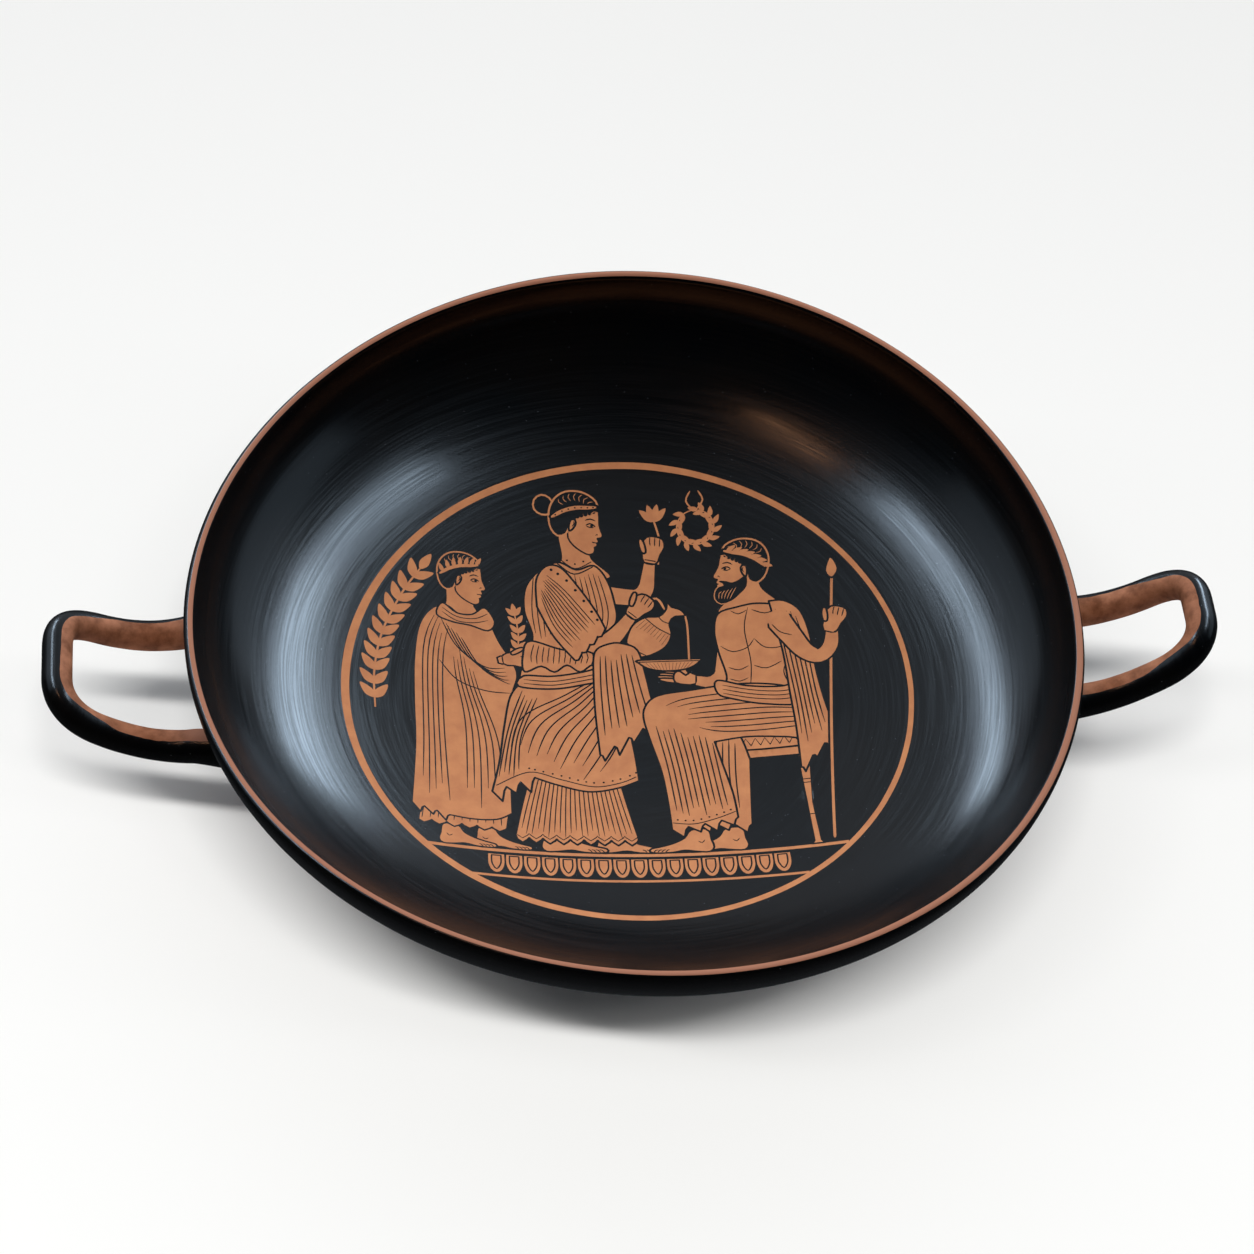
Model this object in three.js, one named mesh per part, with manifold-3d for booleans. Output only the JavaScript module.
// A kylix: a wide, shallow wine cup of fired clay on a stem and a disc foot, with two looped handles.
// The bowl, the stem with its foot and both handles are luted together and fired as one body.
// Millimetres, +Z up, origin at the middle of the foot's underside, +X along the handles.
import * as THREE from "three";
import { mergeVertices } from "three/addons/utils/BufferGeometryUtils.js";
import Module from "manifold-3d";

const wasm = await Module();
wasm.setup();

// Driving dimensions.
const rimRadius = 165; // to the middle of the lip
const cupHeight = 128; // foot to the top of the lip, on average round the rim
const lipRadius = 2; // half the wall at the lip
const bowlDepth = 66; // lip to floor, inside
const floorWall = 7; // wall at the middle of the floor
const rimSag = 5.4; // how far the rim dips, and rises a quarter turn on
const rimSagTurn = -17; // degrees from +X to the dip
const sagStart = 60; // radius inside which the bowl stays true

const stemRadius = 12.5;
const stemJoinRadius = 34; // where the bowl curves into the stem
const stemWaist = 40; // height of the narrowest place
const footRadius = 64;
const footEdge = 9; // height of the foot's edge
const footEdgeBulge = 4.5; // radius of the rounded edge
const restWidth = 12; // flat ring that the cup stands on
const restStep = 1.2; // how far the underside is let in from that ring
const hollowTop = 33; // top of the hollow under the stem
const hollowRadius = 8;

const handleRoot = 132; // where the line of its arms passes into the bowl's wall
const rootTail = 16; // their ends run on inside it by this much
const rootTurn = 136; // inside this radius the ends turn up into the wall
const rootTurnUp = 0.0275;
const wallMeet = 142; // radius where they come out of it
const rootFlare = 0.85; // extra thickness where they are pressed on
const flareLength = 13;
const rootDip = 0.22; // how steeply they drop under the rim
const cornerCut = 14; // how much of each corner is rounded

// The two handles were shaped by hand and differ a little: the radius of the rolled clay, how far out
// the middle of the bar is, half its length, and where the arms' roots are to either side.
const handles = [
  { turn: -2, rod: 6.1, reach: 212.8, barHalf: 18.3, roots: [21.7, 26.7], drop: 35.1, fall: 0.033, rise: 1.88 },
  { turn: 182, rod: 5.85, reach: 213.6, barHalf: 22, roots: [31.3, 29.6], drop: 41.2, fall: -0.16, rise: 1.93 },
];

const turnSegments = 64;
const bowlSteps = 10;
const lipSteps = 4;
const stemSteps = 5;
const edgeSteps = 6;
const rodSides = 10;
const rodSteps = 44;

const lipHeight = cupHeight - lipRadius;

// A quarter ellipse from the axis out to the lip, as profile points (radius, height).
function bowlCurve(radius, depth, fromRadius = 0) {
  const start = Math.asin(fromRadius / radius);
  return Array.from({ length: bowlSteps + 1 }, (_, i) => {
    const angle = start + ((Math.PI / 2 - start) * i) / bowlSteps;
    return new THREE.Vector2(radius * Math.sin(angle), lipHeight - depth * Math.cos(angle));
  });
}

function profileArc(x, y, radius, from, to, steps) {
  const curve = new THREE.EllipseCurve(x, y, radius, radius, from, to, to < from);
  return curve.getPoints(steps);
}

function profileBend(start, control, end) {
  const [a, b, c] = [start, control, end].map(([x, y]) => new THREE.Vector2(x, y));
  return new THREE.QuadraticBezierCurve(a, b, c).getPoints(stemSteps);
}

// The section of the bowl, stem and foot, from the top of the hollow out round the foot and lip to the floor.
function cupProfile() {
  const inside = bowlCurve(rimRadius - lipRadius, bowlDepth);
  const lip = profileArc(rimRadius, lipHeight, lipRadius, Math.PI, 0, lipSteps);
  const outside = bowlCurve(rimRadius + lipRadius, bowlDepth + floorWall, stemJoinRadius).reverse();
  const join = outside.at(-1);
  const upperStem = profileBend([join.x, join.y], [stemRadius + 1, join.y - 1.5], [stemRadius, stemWaist]);
  const edgeX = footRadius - footEdgeBulge;
  const lowerStem = profileBend([stemRadius, stemWaist], [stemRadius, footEdge + 4], [edgeX, footEdge]);
  const edge = profileArc(edgeX, footEdge - footEdgeBulge, footEdgeBulge, Math.PI / 2, -Math.PI / 2, edgeSteps);
  const restInner = edgeX - restWidth;
  const rest = [new THREE.Vector2(restInner, 0)];
  const underside = profileBend(
    [restInner - restStep, restStep],
    [hollowRadius + 6, restStep + 4],
    [hollowRadius, hollowTop - 5],
  );
  const apex = [new THREE.Vector2(0, hollowTop)];
  return [
    ...inside,
    ...lip.slice(1, -1),
    ...outside,
    ...upperStem.slice(1),
    ...lowerStem.slice(1),
    ...edge.slice(1),
    ...rest,
    ...underside,
    ...apex,
  ].reverse();
}

// The bowl isn't quite true: its rim dips near the handles and rises between them.
function sagRim(geometry) {
  const place = geometry.getAttribute("position");
  const dip = THREE.MathUtils.degToRad(rimSagTurn);
  for (let i = 0; i < place.count; i += 1) {
    const radius = Math.hypot(place.getX(i), place.getY(i));
    if (place.getZ(i) < lipHeight - bowlDepth - floorWall || radius < sagStart) continue;
    const angle = Math.atan2(place.getY(i), place.getX(i)) - dip;
    const share = ((radius - sagStart) / (rimRadius - sagStart)) ** 2;
    place.setZ(i, place.getZ(i) - rimSag * share * Math.cos(2 * angle));
  }
  return geometry;
}

function turned(profile) {
  const geometry = new THREE.LatheGeometry(profile, turnSegments);
  return geometry.rotateX(Math.PI / 2);
}

// The line through the middle of a handle, from one arm's root round the bar to the other's.
class HandleLine extends THREE.Curve {
  constructor({ reach, barHalf, roots, drop, fall, rise }) {
    super();
    Object.assign(this, { drop, fall, rise });
    const [first, last] = [1, -1].map((side, i) => {
      const start = new THREE.Vector2(handleRoot, side * roots[i]);
      const corner = new THREE.Vector2(reach, side * barHalf);
      start.add(start.clone().sub(corner).setLength(rootTail));
      const bend = start.clone().sub(corner).setLength(cornerCut).add(corner);
      const bar = new THREE.Vector2(reach, side * (barHalf - cornerCut));
      return { start, bend, corner, bar };
    });
    this.plan = new THREE.Path();
    this.plan.moveTo(first.start.x, first.start.y);
    this.plan.lineTo(first.bend.x, first.bend.y);
    this.plan.quadraticCurveTo(first.corner.x, first.corner.y, first.bar.x, first.bar.y);
    this.plan.lineTo(last.bar.x, last.bar.y);
    this.plan.quadraticCurveTo(last.corner.x, last.corner.y, last.bend.x, last.bend.y);
    this.plan.lineTo(last.start.x, last.start.y);
  }

  heightAt(x) {
    const out = x - rimRadius;
    const lift = (this.rise * Math.max(out, 0) ** 2) / rimRadius;
    const turnUp = rootTurnUp * Math.max(rootTurn - x, 0) ** 2;
    return cupHeight - this.drop + this.fall * out + lift + rootDip * Math.min(out, 0) + turnUp;
  }

  getPoint(t, target = new THREE.Vector3()) {
    const flat = this.plan.getPointAt(t);
    return target.set(flat.x, flat.y, this.heightAt(flat.x));
  }
}

// A rolled rod bent along its line, thicker where it is pressed onto the bowl.
function handleGeometry(handle) {
  const line = new HandleLine(handle);
  const section = new THREE.Shape();
  for (let i = 0; i < rodSides; i += 1) {
    const angle = (2 * Math.PI * (i + 0.5)) / rodSides;
    section[i ? "lineTo" : "moveTo"](handle.rod * Math.cos(angle), handle.rod * Math.sin(angle));
  }
  section.closePath();
  const rod = new THREE.ExtrudeGeometry(section, { steps: rodSteps, extrudePath: line });
  const centres = line.getSpacedPoints(rodSteps);
  const place = rod.getAttribute("position");
  const point = new THREE.Vector3();
  for (let i = 0; i < place.count; i += 1) {
    point.fromBufferAttribute(place, i);
    const distances = centres.map((centre) => centre.distanceToSquared(point));
    const centre = centres[distances.indexOf(Math.min(...distances))];
    const swell = rootFlare * Math.exp(-Math.max(centre.x - wallMeet, 0) / flareLength);
    point.sub(centre).multiplyScalar(1 + swell).add(centre);
    place.setXYZ(i, point.x, point.y, point.z);
  }
  return rod.rotateZ(THREE.MathUtils.degToRad(handle.turn));
}

function solidFrom(geometry) {
  geometry.deleteAttribute("normal");
  geometry.deleteAttribute("uv");
  const merged = mergeVertices(geometry, 1e-3);
  const mesh = new wasm.Mesh({
    numProp: 3,
    vertProperties: merged.getAttribute("position").array,
    triVerts: new Uint32Array(merged.index.array),
  });
  return new wasm.Manifold(mesh);
}

function geometryFrom(solid) {
  const { vertProperties, triVerts } = solid.getMesh();
  const geometry = new THREE.BufferGeometry();
  geometry.setAttribute("position", new THREE.BufferAttribute(vertProperties, 3));
  geometry.setIndex(new THREE.BufferAttribute(triVerts, 1));
  geometry.computeVertexNormals();
  return geometry;
}

// What fills the bowl as far as the middle of its wall, to trim the handles' roots with.
function bowlCore() {
  const curve = bowlCurve(rimRadius, bowlDepth + floorWall / 2);
  const lid = new THREE.Vector2(rimRadius, cupHeight + 20);
  return solidFrom(sagRim(turned([...curve, lid, new THREE.Vector2(0, lid.y)])));
}

function cupSolid() {
  const core = bowlCore();
  const bodyOfCup = solidFrom(sagRim(turned(cupProfile())));
  return handles
    .map((handle) => solidFrom(handleGeometry(handle)).subtract(core))
    .reduce((whole, rod) => whole.add(rod), bodyOfCup);
}

const glossBlack = new THREE.MeshStandardMaterial({ color: 0x14181c, roughness: 0.42, metalness: 0 });
const cup = new THREE.Mesh(geometryFrom(cupSolid()), glossBlack);
cup.name = "kylix_cup";

const kylix = new THREE.Group();
kylix.add(cup);

export default kylix;
